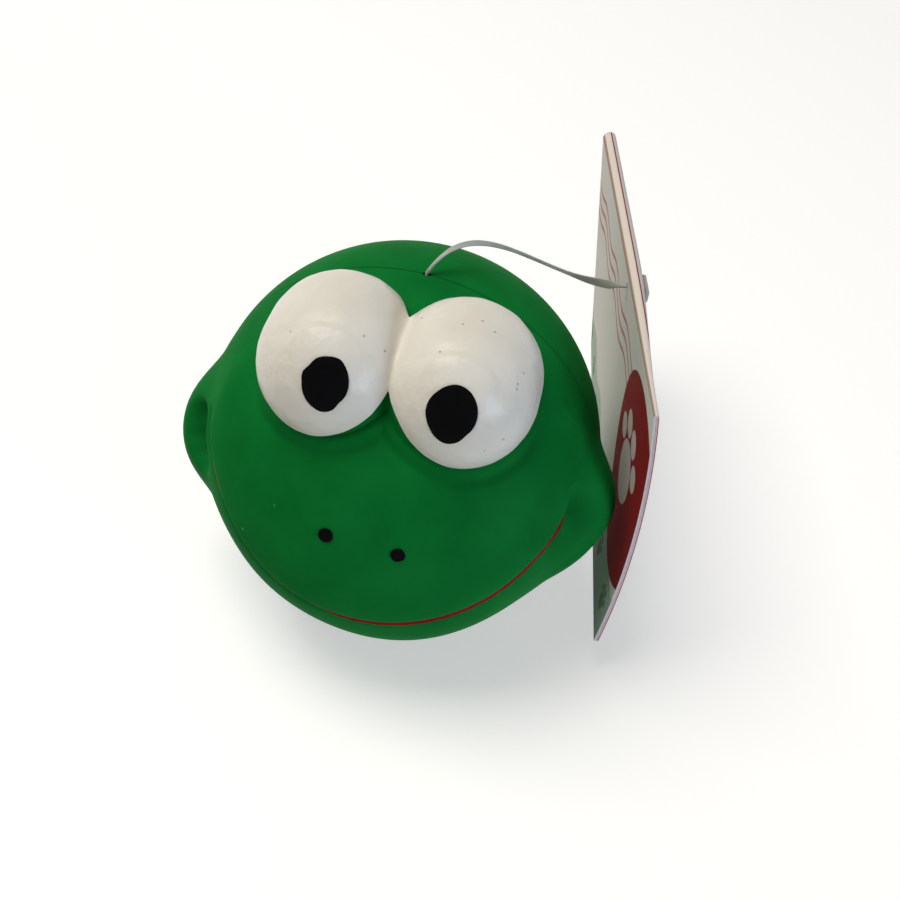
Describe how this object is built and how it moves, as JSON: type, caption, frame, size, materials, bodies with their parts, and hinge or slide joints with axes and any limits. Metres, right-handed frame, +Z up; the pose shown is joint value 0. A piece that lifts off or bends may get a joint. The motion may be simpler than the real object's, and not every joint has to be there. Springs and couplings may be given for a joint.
{
  "type": "squeaker dog ball",
  "caption": "Hollow latex dog ball moulded as a frog's head with domed painted eyes and a closed mouth, a squeaker in its base and a folded swing tag on a fastener pin.",
  "frame": {"origin": "middle of the flat under the ball, on the surface it stands on", "axes": "+Z up, -Y the way the face looks, +X the side that the tag hangs on"},
  "size_m": [0.0707, 0.0982, 0.0617],
  "materials": {
    "green_latex": "satin, hand-dipped latex",
    "white_paint": "thick satin latex paint",
    "black_paint": "thick satin black paint",
    "red_paint": "thin red paint line",
    "polyester_fibre": "loose white fleece",
    "squeaker_plastic": "milky moulded plastic",
    "reed_plastic": "amber moulded plastic",
    "reed_film": "clear film",
    "pin_plastic": "milky translucent plastic",
    "printed_card": "printed card, matt"
  },
  "bodies": {
    "ball": {"head_skin": "green_latex", "eye_white_paint": "white_paint", "pupil_left_paint": "black_paint", "pupil_right_paint": "black_paint", "nostril_left_paint": "black_paint", "nostril_right_paint": "black_paint", "mouth_line_paint": "red_paint", "fibre_filling": "polyester_fibre", "squeaker_body": "squeaker_plastic", "squeaker_cap": "squeaker_plastic", "reed_seat": "reed_plastic", "reed_wedge": "reed_plastic"},
    "pin": {"tag_pin": "pin_plastic"},
    "tag_back": {"tag_back_leaf": "printed_card"},
    "tag_front": {"tag_front_leaf": "printed_card"},
    "reed_blade": {"reed": "reed_film"}
  },
  "joints": [
    {"name": "pin_swivel", "type": "hinge", "parent": "ball", "child": "pin", "pos_m": [0, 0, 0.05791], "axis": [0, 0, 1], "range_deg": [-3, 150]},
    {"name": "tag_swing", "type": "hinge", "parent": "pin", "child": "tag_back", "pos_m": [0.02845, 0.02237, 0.04886], "axis": [0.9802, 0.1976, 0.014], "continuous": true},
    {"name": "tag_fold", "type": "hinge", "parent": "tag_back", "child": "tag_front", "pos_m": [0.02815, 0.027, 0.05107], "axis": [0.1977, -0.9803, 0], "range_deg": [0, 7]},
    {"name": "reed_flex", "type": "hinge", "parent": "ball", "child": "reed_blade", "pos_m": [0, 0, 0.00318], "axis": [1, 0, 0], "range_deg": [-2.5, 2.5], "stiffness_Nm_per_rad": 0.00002}
  ]
}
